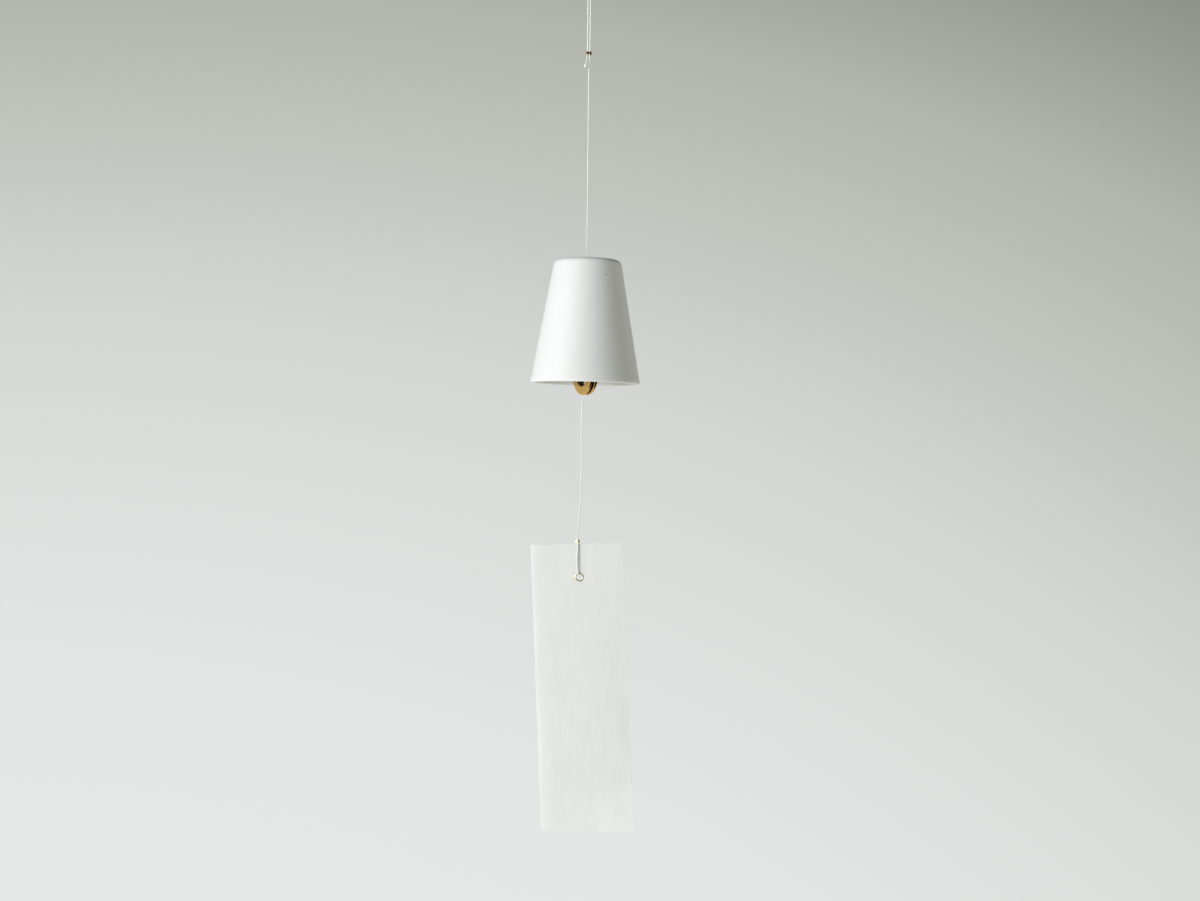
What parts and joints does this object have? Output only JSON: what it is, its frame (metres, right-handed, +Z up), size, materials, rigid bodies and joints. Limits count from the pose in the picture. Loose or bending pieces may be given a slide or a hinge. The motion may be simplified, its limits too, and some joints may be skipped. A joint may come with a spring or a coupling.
{
  "type": "furin wind bell",
  "caption": "Hanging furin wind bell: white porcelain bell on a thin cord, a clapper of loose brass rings inside, and a blank paper strip on an eyelet below to catch the wind.",
  "frame": {"origin": "the point inside the top of the hanging loop where the loop bears on its nail; everything hangs below it", "axes": "+Z up along the hanging cord, +X to the right and +Y away from the viewer who faces the paper strip"},
  "size_m": [0.0597, 0.0598, 0.4745],
  "materials": {
    "cord": "matte white braided cord",
    "porcelain": "matte white bisque porcelain",
    "clapper_brass": "turned brass with a soft satin face",
    "crimp_brass": "thin drawn brass, pressed by a tool",
    "bead_brass": "polished brass",
    "washer_felt": "pressed wool felt",
    "washi": "off-white washi with upright fibres"
  },
  "bodies": {
    "hanger": {"hanging_loop": "cord"},
    "top_crimp": {"upper_crimp": "crimp_brass", "upper_tail": "cord"},
    "line": {"suspension_cord": "cord", "stopper_bead": "bead_brass"},
    "seat": {"seat_washer": "washer_felt"},
    "bell": {"bell": "porcelain"},
    "clapper_line": {"clapper_cord": "cord", "clapper_crimp": "crimp_brass"},
    "ring_front": {"clapper_ring_front": "clapper_brass"},
    "ring_back": {"clapper_ring_back": "clapper_brass"},
    "streamer_line": {"streamer_cord": "cord", "link_crimp": "crimp_brass"},
    "streamer_end": {"lower_crimp": "crimp_brass", "streamer_loop": "cord"},
    "paper_strip": {"tanzaku": "washi", "eyelet": "crimp_brass"}
  },
  "joints": [
    {"name": "loop_sway", "type": "hinge", "parent": "hanger", "child": "top_crimp", "pos_m": [-0.00015, 0, -0.0464], "axis": [1, 0, 0], "range_deg": [-20, 20]},
    {"name": "line_swing", "type": "hinge", "parent": "top_crimp", "child": "line", "pos_m": [0.00055, 0, -0.0483], "axis": [0, 1, 0], "range_deg": [-20, 20]},
    {"name": "bell_nod", "type": "hinge", "parent": "line", "child": "seat", "pos_m": [0.00035, 0, -0.166], "axis": [0.4384, -0.8988, 0], "range_deg": [-5, 5]},
    {"name": "bell_spin", "type": "hinge", "parent": "seat", "child": "bell", "pos_m": [0.00035, 0, -0.166], "axis": [0.0126, 0, 0.9999], "continuous": true},
    {"name": "clapper_swing", "type": "hinge", "parent": "line", "child": "clapper_line", "pos_m": [0.00035, 0, -0.16852], "axis": [-0.8988, -0.4384, 0], "range_deg": [-13, 13]},
    {"name": "front_ring_swing", "type": "hinge", "parent": "clapper_line", "child": "ring_front", "pos_m": [-0.00026, 0, -0.2158], "axis": [-0.8988, -0.4384, 0], "range_deg": [-8, 8]},
    {"name": "back_ring_swing", "type": "hinge", "parent": "clapper_line", "child": "ring_back", "pos_m": [-0.00026, 0, -0.2158], "axis": [-0.8988, -0.4384, 0], "range_deg": [-8, 8]},
    {"name": "streamer_swing", "type": "hinge", "parent": "clapper_line", "child": "streamer_line", "pos_m": [-0.00026, 0, -0.2158], "axis": [-0.8988, -0.4384, 0], "range_deg": [-30, 30]},
    {"name": "streamer_twist", "type": "hinge", "parent": "streamer_line", "child": "streamer_end", "pos_m": [-0.0034, -0.00057, -0.3134], "axis": [0, 0, 1], "continuous": true},
    {"name": "paper_swing", "type": "hinge", "parent": "streamer_end", "child": "paper_strip", "pos_m": [-0.0031, 0, -0.33335], "axis": [0, -1, 0], "range_deg": [-8.5, 6]}
  ]
}
